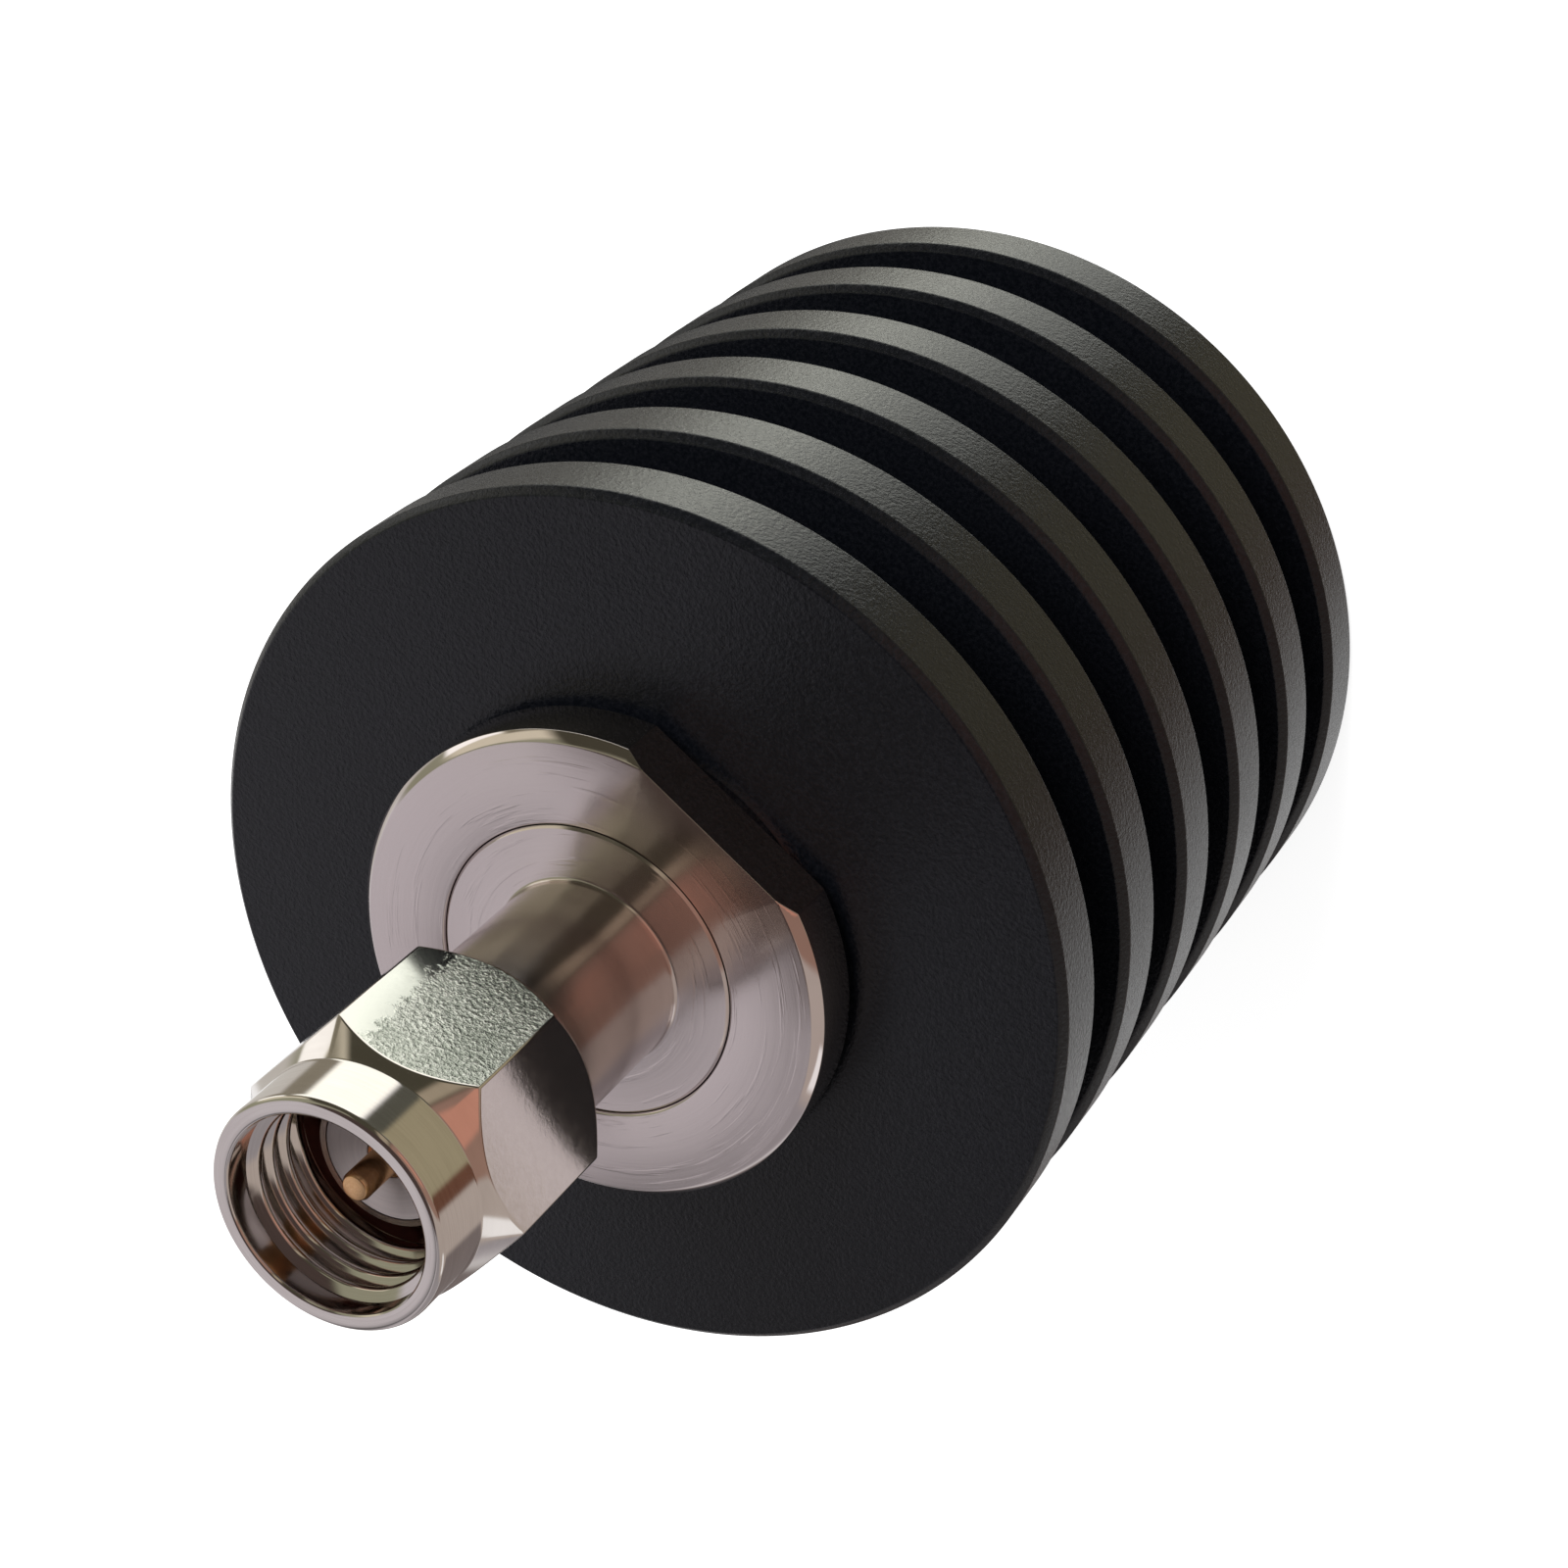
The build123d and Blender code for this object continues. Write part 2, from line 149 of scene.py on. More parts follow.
class NodeSheet:
    """The node tree of one material or of the world."""

    def __init__(self, tree: bpy.types.NodeTree) -> None:
        """Empties the tree."""
        self.tree = tree
        tree.nodes.clear()

    def add(
        self,
        kind: str,
        sockets: Optional[Dict[Union[str, int], Any]] = None,
        out: Union[str, int] = 0,
        **settings: Any,
    ) -> Wire:
        """Adds one node.

        Args:
            kind: The node's Blender type, without its "ShaderNode".
            sockets: Values or wires for its inputs, by name or number.
            out: The output that is returned.
            settings: Properties of the node, set before its inputs.

        Returns:
            The chosen output as a wire.
        """
        node = self.tree.nodes.new("ShaderNode" + kind)
        for name, value in settings.items():
            setattr(node, name, value)
        for name, value in (sockets or {}).items():
            self.feed(node.inputs[name], value)
        return Wire(self, node.outputs[out]) if node.outputs else Wire(self, None)

    def feed(self, socket: bpy.types.NodeSocket, value: Any) -> None:
        """Links a wire to an input, or sets the input's own value.

        Args:
            socket: The input socket.
            value: A wire, a number, or a sequence of numbers.
        """
        if isinstance(value, Wire):
            self.tree.links.new(value.socket, socket)
        else:
            socket.default_value = value

    def mix(self, amount: Any, first: Any, second: Any) -> Wire:
        """Returns a colour between two colours.

        Args:
            amount: 0 for the first colour, 1 for the second.
            first: The first colour, or a wire of one.
            second: The second colour, or a wire of one.
        """
        return self.add("Mix", {0: amount, 6: first, 7: second}, 2, data_type="RGBA")

    def ramp(self, value: Any, low: float, high: float) -> Wire:
        """Returns a smooth step from 0 where value is low to 1 where it is high."""
        return self.add(
            "MapRange",
            {"Value": value, "From Min": low, "From Max": high},
            interpolation_type="SMOOTHSTEP",
        )

    def place(self) -> Wire:
        """Returns the point's place in the row frame, in metres."""
        return self.add("TexCoord", out="Object")

    def noise(self, vector: Wire, scale: float, detail: float, rough: float) -> Wire:
        """Returns a soft noise around 0.5.

        Args:
            vector: Where the noise is read.
            scale: Cells per unit of the vector.
            detail: Octaves.
            rough: Weight of the finer octaves.
        """
        return self.add(
            "TexNoise",
            {"Vector": vector, "Scale": scale, "Detail": detail, "Roughness": rough},
        )

    def vector(self, x: Any, y: Any, z: Any) -> Wire:
        """Returns a vector of three values."""
        return self.add("CombineXYZ", {0: x, 1: y, 2: z})

    def split(self) -> Tuple[Wire, Wire, Wire]:
        """Returns the three parts of the point's place."""
        parts = self.tree.nodes.new("ShaderNodeSeparateXYZ")
        self.feed(parts.inputs[0], self.place())
        x, y, z = (Wire(self, parts.outputs[axis]) for axis in range(3))
        return x, y, z

    def turn(self, x: Wire, y: Wire) -> Wire:
        """Returns the direction round the axis, in degrees from +X."""
        angle = self.add("Math", {0: y, 1: x}, operation="ARCTAN2")
        return angle * math.degrees(1)

    def wrap(self, value: Wire, half: float) -> Wire:
        """Returns value brought between -half and half."""
        return self.add("Math", {0: value, 1: half, 2: -half}, operation="WRAP")

    def lathe_marks(self, fineness: float, drift: float) -> Wire:
        """Returns turning marks: a noise that runs round the coaxial axis.

        Args:
            fineness: Marks per metre along a face or a barrel.
            drift: How fast a mark changes on its way round.
        """
        x, y, z = self.split()
        radius = (x * x + y * y) ** 0.5
        along = (radius + z) * fineness
        safe = radius + AXIS_GAP
        place = self.vector(along, x / safe * drift, y / safe * drift)
        return self.noise(place, 1.0, OCTAVES, CRISP)

    def surface(self, shader: Wire) -> None:
        """Ends the tree in its output node."""
        self.add("OutputMaterial", {"Surface": shader})


def new_material(name: str) -> Tuple[bpy.types.Material, NodeSheet]:
    """Returns a new material with its empty node tree."""
    material = bpy.data.materials.new(name)
    material.use_nodes = True
    return material, NodeSheet(material.node_tree)


class Finish:
    """A material that pieces of the terminator are dressed in."""

    name: str = "finish"
    slot: str = ""
    base: Colour
    shade: Colour
    grain: Grain = Grain.BLASTED
    grain_size: float
    drift: float = 1.0
    strength: float
    depth: float

    def build(self) -> bpy.types.Material:
        """Returns the material, made on its first use and shared after that."""
        if self.name not in MADE:
            material, sheet = new_material(self.name)
            sheet.surface(self.shader(sheet))
            MADE[self.name] = material
        return MADE[self.name]

    def shader(self, sheet: NodeSheet) -> Wire:
        """Returns the finish's shader; each finish has its own."""
        raise NotImplementedError

    def marks(self, sheet: NodeSheet) -> Wire:
        """Returns the marks that the maker's tool or mould left, from 0 to 1."""
        if self.grain is Grain.TURNED:
            return sheet.lathe_marks(1 / self.grain_size, self.drift)
        return sheet.noise(sheet.place(), 1 / self.grain_size, OCTAVES, CRISP)

    def principled(
        self, sheet: NodeSheet, tone: Wire, rough: Wire, height: Wire, **more: float
    ) -> Wire:
        """Returns a shader between the finish's two tones, whose normal follows a height.

        Args:
            sheet: The material's nodes.
            tone: 0 for the shade, 1 for the base.
            rough: The roughness.
            height: The height, in parts of the finish's depth.
            more: Values for further inputs, with _ for the spaces in their names.
        """
        bump = {"Strength": self.strength, "Distance": self.depth}
        sockets = {
            "Base Color": sheet.mix(tone, self.shade, self.base),
            "Roughness": rough,
            "Normal": sheet.add("Bump", {**bump, "Height": height}),
        }
        for name, value in more.items():
            sockets[name.replace("_", " ")] = value
        return sheet.add("BsdfPrincipled", sockets)


@dataclass(frozen=True)
class BlackAnodised(Finish):
    """Bead-blasted aluminium, anodised black: satin, with a fine sparkling grain."""

    name: str = "black_anodised"
    slot: str = "black_anodised_aluminium"
    base: Colour = rgba(0.0058, 0.0063, 0.0084)
    shade: Colour = rgba(0.0024, 0.0029, 0.0042)
    grain_size: float = 0.14 * MM
    grain_weight: float = 0.65
    cloud_size: float = 6 * MM
    tone_from: Span = (0.35, 0.7)
    roughness: float = 0.25
    grain_spread: float = 0.2
    cloud_spread: float = 0.08
    ior: float = 1.42
    strength: float = 0.85
    depth: float = 0.03 * MM

    def shader(self, sheet: NodeSheet) -> Wire:
        """Returns a dark satin coat whose grain sparkles in the light."""
        place = sheet.place()
        fine = sheet.noise(place, 1 / self.grain_size, OCTAVES, self.grain_weight)
        broad = sheet.noise(place, 1 / self.cloud_size, OCTAVES, SOFT)
        tone = sheet.ramp(fine, *self.tone_from)
        rough = self.roughness + (fine - MIDDLE) * self.grain_spread
        rough = rough + (broad - MIDDLE) * self.cloud_spread
        return self.principled(sheet, tone, rough, fine, IOR=self.ior)


@dataclass(frozen=True)
class PlatedMetal(Finish):
    """Nickel or gold plate over metal, with the marks that the maker's tool left under it."""

    name: str = "nickel_turned"
    slot: str = "turned_nickel"
    base: Colour = rgba(0.74, 0.67, 0.655)
    shade: Colour = rgba(0.66, 0.595, 0.58)
    roughness: float = 0.26
    spread: float = 0.1
    grain: Grain = Grain.TURNED
    grain_size: float = 0.06 * MM
    drift: float = 1.5
    cloud_size: float = 2.5 * MM
    cloud_weight: float = 0.55
    grain_share: float = 0.6
    cloud_share: float = 0.4
    tone_from: Span = (0.35, 0.65)
    strength: float = 0.5
    depth: float = 0.004 * MM
    streak: float = 0.0
    quarter_turn: float = 0.25
    scratches: float = 0.0
    scratch_size: float = 0.3 * MM
    scratch_drift: float = 1.2
    scratch_from: Span = (0.56, 0.66)
    matt: float = 0.0
    polished: Optional[float] = None
    strip_from: Span = (15.0, 19.0)
    ragged_size: float = 0.35 * MM
    ragged_octaves: float = 4.0
    ragged_weight: float = 0.75
    ragged_reach: float = 26

    def worn(self, sheet: NodeSheet) -> Wire:
        """Returns 1 on the rough part of each flat, and 0 on its polished strip."""
        x, y, _ = sheet.split()
        noise = sheet.noise(
            sheet.place(), 1 / self.ragged_size, self.ragged_octaves, self.ragged_weight
        )
        ragged = (noise - MIDDLE) * self.ragged_reach
        across = sheet.wrap(sheet.turn(x, y) - self.polished, CORNER_TURN / 2) + ragged
        return 1 - sheet.ramp(across, *self.strip_from)

    def shader(self, sheet: NodeSheet) -> Wire:
        """Returns a metal whose marks show in its tone, roughness and normal.

        The streak draws reflections out across the turning marks. A polished direction, in
        degrees from +X, gives every flat a smooth strip beside its worn part.
        """
        marks = self.marks(sheet)
        height = marks
        if self.scratches:
            coarse = sheet.lathe_marks(1 / self.scratch_size, self.scratch_drift)
            height = marks + sheet.ramp(coarse, *self.scratch_from) * self.scratches
        broad = sheet.noise(sheet.place(), 1 / self.cloud_size, OCTAVES, self.cloud_weight)
        blend = marks * self.grain_share + broad * self.cloud_share
        tone = sheet.ramp(blend, *self.tone_from)
        rough = self.roughness + (marks - MIDDLE) * self.spread + (broad - MIDDLE) * self.spread
        if self.polished is not None:
            worn = self.worn(sheet)
            tone = 1 - (1 - tone) * worn
            height = (marks - MIDDLE) * worn
            rough = rough + worn * self.matt
        streak = {"Anisotropic": self.streak, "Anisotropic_Rotation": self.quarter_turn}
        return self.principled(sheet, tone, rough, height, Metallic=1.0, **streak)


@dataclass(frozen=True)
class Dull(Finish):
    """A plain non-metal: fluoropolymer, bead, rubber, ceramic or resistor film."""

    name: str = "dull"
    slot: str = ""
    base: Colour = rgba(0.8, 0.8, 0.8)
    shade: Colour = rgba(0.7, 0.7, 0.7)
    roughness: float = 0.5
    spread: float = 0.2
    grain: Grain = Grain.MOULDED
    grain_size: float = 0.2 * MM
    drift: float = 0.6
    tone_from: Span = (0.3, 0.7)
    strength: float = 0.4
    depth: float = 0.01 * MM

    def shader(self, sheet: NodeSheet) -> Wire:
        """Returns a soft surface with a slight grain or slight turning marks."""
        marks = self.marks(sheet)
        tone = sheet.ramp(marks, *self.tone_from)
        rough = self.roughness + (marks - MIDDLE) * self.spread
        return self.principled(sheet, tone, rough, marks)


BLACK = BlackAnodised()
FACED_NICKEL = PlatedMetal(
    name="nickel_faced",
    shade=rgba(0.715, 0.645, 0.63),
    roughness=0.19,
    spread=0.06,
    grain_size=0.1 * MM,
    streak=1.0,
    scratches=2.5,
)
TURNED_NICKEL = PlatedMetal(roughness=0.17, spread=0.06, strength=0.12, streak=0.8)
WALL_NICKEL = PlatedMetal(
    name="nickel_wall", roughness=0.06, spread=0.04, strength=0.15, grain_size=0.12 * MM
)
BRIGHT_NICKEL = PlatedMetal(
    name="nickel_bright",
    slot="bright_nickel",
    base=rgba(0.77, 0.72, 0.69),
    shade=rgba(0.70, 0.65, 0.62),
    roughness=0.1,
    spread=0.06,
    grain_size=0.07 * MM,
    strength=0.05,
    streak=0.5,
)
GRAINY_NICKEL = PlatedMetal(
    name="nickel_grainy",
    slot="bright_nickel",
    base=rgba(0.7, 0.7, 0.66),
    shade=rgba(0.36, 0.38, 0.34),
    roughness=0.09,
    spread=0.06,
    grain=Grain.BLASTED,
    grain_size=0.13 * MM,
    depth=0.05 * MM,
    matt=0.1,
    polished=REST_TURN + CORNER_TURN / 2,
)
PLAIN_NICKEL = PlatedMetal(
    name="nickel_plain",
    slot="bright_nickel",
    base=rgba(0.77, 0.72, 0.69),
    shade=rgba(0.71, 0.66, 0.63),
    roughness=0.1,
    spread=0.05,
    grain=Grain.BLASTED,
    grain_size=0.3 * MM,
    strength=0.25,
    depth=0.006 * MM,
)
GOLD = PlatedMetal(
    name="gold_turned",
    slot="gold_plate",
    base=rgba(0.86, 0.56, 0.30),
    shade=rgba(0.74, 0.44, 0.22),
    roughness=0.24,
    grain_size=0.05 * MM,
)
SPRING_BRONZE = PlatedMetal(
    name="bronze_spring",
    slot="spring_bronze",
    base=rgba(0.62, 0.42, 0.25),
    shade=rgba(0.5, 0.33, 0.19),
    roughness=0.3,
    grain=Grain.BLASTED,
    grain_size=0.1 * MM,
)
COPPER = PlatedMetal(
    name="copper_milled",
    slot="copper",
    base=rgba(0.74, 0.42, 0.29),
    shade=rgba(0.62, 0.33, 0.22),
    roughness=0.32,
    grain=Grain.MILLED,
    grain_size=0.12 * MM,
)
STEEL = PlatedMetal(
    name="steel_stainless",
    slot="steel",
    base=rgba(0.62, 0.61, 0.6),
    shade=rgba(0.5, 0.49, 0.48),
    roughness=0.3,
    grain=Grain.MILLED,
    grain_size=0.08 * MM,
)
SOLDER = PlatedMetal(
    name="solder_dull",
    slot="solder",
    base=rgba(0.66, 0.66, 0.67),
    shade=rgba(0.52, 0.52, 0.54),
    roughness=0.42,
    grain=Grain.BLASTED,
    grain_size=0.15 * MM,
)
# White fluoropolymer given a darker pink-grey colour: painted shade of the plug's mouth over the
# sleeve's own white
DIELECTRIC_PAINTED_SHADE = Dull(
    name="dielectric_painted_shade",
    slot="white_dielectric",
    base=rgba(0.56, 0.49, 0.49),
    shade=rgba(0.5, 0.435, 0.44),
    roughness=0.42,
    grain_size=0.09 * MM,
    grain=Grain.TURNED,
)
SILICONE = Dull(
    name="silicone_moulded",
    slot="silicone",
    base=rgba(0.30, 0.075, 0.05),
    shade=rgba(0.22, 0.05, 0.035),
    roughness=0.6,
    grain_size=0.25 * MM,
)
AMBER_BEAD = Dull(
    name="bead_turned",
    slot="amber_bead",
    base=rgba(0.62, 0.36, 0.12),
    shade=rgba(0.52, 0.28, 0.08),
    roughness=0.4,
    grain_size=0.1 * MM,
    grain=Grain.TURNED,
)
CERAMIC = Dull(
    name="ceramic_fired",
    slot="ceramic",
    base=rgba(0.8, 0.8, 0.76),
    shade=rgba(0.72, 0.72, 0.68),
    roughness=0.35,
    grain_size=0.06 * MM,
)
RESISTOR_FILM = Dull(
    name="film_printed",
    slot="resistor_film",
    base=rgba(0.06, 0.06, 0.07),
    shade=rgba(0.03, 0.03, 0.035),
    grain_size=0.08 * MM,
)


def near(value: float, target: float) -> bool:
    """Returns True where two lengths are as good as the same."""
    return abs(value - target) < NEAR


class Bench:
    """The machine tools that every piece is shaped with."""

    def __init__(self, segments: int) -> None:
        """Keeps how many segments a full turn has."""
        self.segments = segments

    @staticmethod
    def clear() -> None:
        """Leaves no object selected."""
        if bpy.context.object is not None and bpy.context.object.mode != "OBJECT":
            bpy.ops.object.mode_set(mode="OBJECT")
        bpy.ops.object.select_all(action="DESELECT")

    def turn(
        self, name: str, outline: Sequence[Station], closed: bool, first: float = 0.0
    ) -> Piece:
        """Turns a piece on the coaxial axis and leaves it in edit mode.

        Args:
            name: The piece's name.
            outline: Radii and heights in metres, in order along the piece's section.
            closed: True for a ring, whose outline comes back to its start; False for a solid
                bar, whose two ends are filled with a face.
            first: Direction of the turned piece's first seam, in degrees from +X.

        Returns:
            The piece.
        """
        self.clear()
        radius, height = outline[0]
        bpy.ops.mesh.primitive_circle_add(
            vertices=self.segments,
            radius=radius,
            fill_type="NOTHING",
            location=(0, 0, height),
            rotation=(0, 0, math.radians(first)),
        )
        piece = bpy.context.object
        piece.name = name
        piece.data.name = name
        bpy.ops.object.transform_apply(location=True, rotation=True, scale=False)
        bpy.ops.object.mode_set(mode="EDIT")
        path = list(outline[1:])
        if closed:
            path.append(outline[0])
        for next_radius, next_height in path:
            bpy.ops.mesh.extrude_region_move(
                TRANSFORM_OT_translate={"value": (0, 0, next_height - height)}
            )
            factor = next_radius / radius
            bpy.ops.transform.resize(
                value=(factor, factor, 1), center_override=(0, 0, next_height)
            )
            radius, height = next_radius, next_height
        bpy.ops.mesh.select_all(action="SELECT")
        if closed:
            bpy.ops.mesh.remove_doubles(threshold=WELD)
        else:
            bpy.ops.mesh.fill_holes(sides=0)
        bpy.ops.mesh.normals_make_consistent(inside=False)
        return piece

    @staticmethod
    def mill_flat(angle: float, distance: float, low: float) -> None:
        """Mills one flat on the piece in edit mode.

        Args:
            angle: Direction from the axis to the flat, in degrees from +X.
            distance: Distance from the axis to the flat.
            low: Height where the cutter starts; nothing below it is cut.
        """
        normal = direction(angle, 0)
        Bench.pick("FACE", lambda face: low < face.center.z)
        bpy.ops.mesh.bisect(
            plane_co=normal * distance,
            plane_no=normal,
            use_fill=True,
            clear_inner=False,
            clear_outer=True,
            threshold=CUT_ERROR,
        )

    @staticmethod
    def pick(kind: str, wanted: Callable[[Any], bool]) -> None:
        """Selects the wanted ones of the faces or edges of the piece in edit mode."""
        bpy.ops.mesh.select_mode(type=kind)
        bpy.ops.mesh.select_all(action="DESELECT")
        bpy.ops.object.mode_set(mode="OBJECT")
        mesh = bpy.context.object.data
        for element in mesh.polygons if kind == "FACE" else mesh.edges:
            element.select = wanted(element)
        bpy.ops.object.mode_set(mode="EDIT")

    def round_ring(self, radius: float, height: float, size: float) -> None:
        """Rounds one turned edge of the piece in edit mode.

        Args:
            radius: The edge's radius.
            height: The edge's height.
            size: The rounding's width.
        """

        def on_ring(edge: bpy.types.MeshEdge) -> bool:
            """Returns True for an edge whose two ends are on the ring."""
            points = bpy.context.object.data.vertices
            ends = (points[number].co for number in edge.vertices)
            return all(near(end.z, height) and near(end.xy.length, radius) for end in ends)

        self.pick("EDGE", on_ring)
        bpy.ops.mesh.bevel(offset=size, segments=ROUND_STEPS, profile=ROUND, affect="EDGES")

    @staticmethod
    def round_sharp(size: float, steps: int = EDGE_STEPS) -> None:
        """Breaks every sharp edge of the piece in edit mode.

        Args:
            size: The rounding's width.
            steps: Faces across it.
        """
        bpy.ops.mesh.select_mode(type="EDGE")
        bpy.ops.mesh.select_all(action="DESELECT")
        bpy.ops.mesh.edges_select_sharp(sharpness=SHARP)
        bpy.ops.mesh.bevel(offset=size, segments=steps, profile=ROUND, affect="EDGES")

    @staticmethod
    def finish(piece: Piece, finish: Finish, body: Body, *nodes: str) -> None:
        """Leaves edit mode, smooths and dresses the piece, and hides the frame's nodes that it
        stands in for.

        Args:
            piece: The piece.
            finish: Its finish.
            body: The body that it rides on.
            nodes: The frame's nodes that it replaces, if any.
        """
        if piece.mode == "EDIT":
            bpy.ops.object.mode_set(mode="OBJECT")
        bpy.ops.object.shade_smooth_by_angle(angle=SHARP)
        weigh = piece.modifiers.new("flat_faces_stay_flat", "WEIGHTED_NORMAL")
        weigh.keep_sharp = True
        bpy.ops.object.modifier_apply(modifier=weigh.name)
        piece.data.materials.clear()
        piece.data.materials.append(finish.build())
        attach(piece, body.value)
        if nodes:
            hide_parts(*nodes)
        LOG.info("%s: %d faces, %s", piece.name, len(piece.data.polygons), finish.name)

    @staticmethod
    def refinish(piece: Piece, finish: Finish, wanted: Callable[[Face], bool]) -> None:
        """Gives some of a finished piece's faces another finish.

        Args:
            piece: The piece.
            finish: The other finish.
            wanted: Whether a face takes it.
        """
        piece.data.materials.append(finish.build())
        number = len(piece.data.materials) - 1
        for face in piece.data.polygons:
            if wanted(face):
                face.material_index = number


@dataclass
class TurnedPiece:
    """A visible piece that is turned from one outline and then worked on."""

    bench: Bench
    edge_break: float = 0.04 * MM

    name: ClassVar[str] = ""
    node: ClassVar[str] = ""
    finish: ClassVar[Finish] = BLACK
    wall_finish: ClassVar[Optional[Finish]] = None
    body: ClassVar[Body] = Body.TERMINATOR
    closed: ClassVar[bool] = True
    first: ClassVar[float] = 0.0

    def outline(self) -> List[Station]:
        """Returns the blank's section; each piece has its own."""
        raise NotImplementedError

    def work(self) -> None:
        """Works on the blank in edit mode; most pieces only get their edges broken."""
        self.bench.round_sharp(self.edge_break)

    def build(self) -> Piece:
        """Turns the blank, works on it and dresses it, and returns the piece."""
        piece = self.bench.turn(self.name, self.outline(), self.closed, self.first)
        self.work()
        self.bench.finish(piece, self.finish, self.body, self.node)
        if self.wall_finish:
            self.bench.refinish(piece, self.wall_finish, self.on_wall)
        return piece

    @staticmethod
    def on_wall(face: Face) -> bool:
        """Returns True for a face that doesn't look up or down."""
        return abs(face.normal.z) < LEVEL


@dataclass
class Heatsink(TurnedPiece):
    """The turned bar with its fins, and the bore that takes the flange and the load."""

    name = "finned_heatsink"
    node = "heatsink"
    closed = False

    diameter: float = 30.0 * MM
    root_diameter: float = 19.0 * MM
    fins: int = 6
    fin: float = 2.6 * MM
    gap: float = 2.6 * MM
    chamfer: float = 0.25 * MM
    bore: float = 11.0 * MM
    bore_depth: float = 22.0 * MM
    thread: float = 13.1 * MM
    thread_depth: float = 5.0 * MM
    entry_chamfer: float = 0.3 * MM
    edge_break: float = 0.05 * MM

    @property
    def length(self) -> float:
        """Returns the height of the front face."""
        return self.fins * self.fin + (self.fins - 1) * self.gap

    def outline(self) -> List[Station]:
        """Returns the section from the rear face's middle round to the bore's floor."""
        outer, root = self.diameter / 2, self.root_diameter / 2
        stations: List[Station] = []
        for number in range(self.fins):
            low = number * (self.fin + self.gap)
            high = low + self.fin
            stations += [
                (root, low),
                (outer - self.chamfer, low),
                (outer, low + self.chamfer),
                (outer, high - self.chamfer),
                (outer - self.chamfer, high),
                (root, high),
            ]
        thread, bore, front = self.thread / 2, self.bore / 2, self.length
        return stations[1:-1] + [
            (thread + self.entry_chamfer, front),
            (thread, front - self.entry_chamfer),
            (thread, front - self.thread_depth),
            (bore, front - self.thread_depth),
            (bore, front - self.bore_depth),
        ]


@dataclass
class ClampFlange(TurnedPiece):
    """The nickel ring with two wrench flats and a shank that screws into the heatsink."""

    name = "clamp_flange_ring"
    node = "clamp_flange"
    finish = FACED_NICKEL
    wall_finish = WALL_NICKEL

    seat: float = 28.6 * MM
    diameter: float = 16.2 * MM
    height: float = 2.5 * MM
    chamfer: float = 0.3 * MM
    across_flats: float = 14.6 * MM
    foot_diameter: float = 14.4 * MM
    foot_height: float = 0.4 * MM
    shank_diameter: float = 13.0 * MM
    shank_length: float = 4.5 * MM
    bore: float = 10.06 * MM
    bore_chamfer: float = 0.08 * MM
    collar_bore: float = 11.36 * MM
    collar_depth: float = 3.5 * MM
    cutter_room: float = 1 * MM

    def outline(self) -> List[Station]:
        """Returns the section, from the shank's end outwards and back through the bore."""
        front = self.seat + self.height
        rear = self.seat - self.shank_length
        foot_top = self.seat + self.foot_height
        shoulder = front - self.collar_depth
        outer, bore, collar = self.diameter / 2, self.bore / 2, self.collar_bore / 2
        shank, foot = self.shank_diameter / 2, self.foot_diameter / 2
        return [
            (shank, rear),
            (shank, self.seat),
            (foot, self.seat),
            (foot, foot_top),
            (outer, foot_top),
            (outer, front - self.chamfer),
            (outer - self.chamfer, front),
            (bore + self.bore_chamfer, front),
            (bore, front - self.bore_chamfer),
            (bore, shoulder),
            (collar, shoulder),
            (collar, rear),
        ]

    def work(self) -> None:
        """Mills the two flats, which spare the shank, and breaks the edges."""
        for angle in (90, -90):
            self.bench.mill_flat(angle, self.across_flats / 2, self.seat - self.cutter_room)
        super().work()


@dataclass
class ConnectorBody(TurnedPiece):
    """Head, barrel and spigot, turned as one with the line bored through."""

    name = "plug_body"
    node = "connector_body"
    finish = FACED_NICKEL
    wall_finish = TURNED_NICKEL

    rear: float = 25.6 * MM
    collar: float = 11.3 * MM
    collar_height: float = 2.0 * MM
    head: float = 10.0 * MM
    face: float = 31.1 * MM
    head_chamfer: float = 0.08 * MM
    barrel: float = 6.35 * MM
    fillet: float = 0.15 * MM
    groove: float = 5.3 * MM
    groove_low: float = 38.2 * MM
    groove_high: float = 39.0 * MM
    gasket_seat: float = 39.7 * MM
    neck: float = 5.0 * MM
    spigot: float = 4.59 * MM
    spigot_root: float = 40.5 * MM
    mating_plane: float = 42.5 * MM
    spigot_chamfer: float = 0.06 * MM
    line_bore: float = 4.1 * MM
    bead_bore: float = 6.06 * MM
    bead_front: float = 28.1 * MM

    def outline(self) -> List[Station]:
        """Returns the section, from the rear bore outwards and back through the line."""
        bead, collar, head = self.bead_bore / 2, self.collar / 2, self.head / 2
        barrel, groove, neck = self.barrel / 2, self.groove / 2, self.neck / 2
        spigot, line = self.spigot / 2, self.line_bore / 2
        return [
            (bead, self.rear),
            (collar, self.rear),
            (collar, self.rear + self.collar_height),
            (head, self.rear + self.collar_height),
            (head, self.face - self.head_chamfer),
            (head - self.head_chamfer, self.face),
            (barrel, self.face),
            (barrel, self.groove_low),
            (groove, self.groove_low),
            (groove, self.groove_high),
            (barrel, self.groove_high),
            (barrel, self.gasket_seat),
            (neck, self.gasket_seat),
            (neck, self.spigot_root),
            (spigot, self.spigot_root),
            (spigot, self.mating_plane - self.spigot_chamfer),
            (spigot - self.spigot_chamfer, self.mating_plane),
            (line, self.mating_plane),
            (line, self.bead_front),
            (bead, self.bead_front),
        ]

    def work(self) -> None:
        """Fillets the barrel's foot."""
        self.bench.round_ring(self.barrel / 2, self.face, self.fillet)


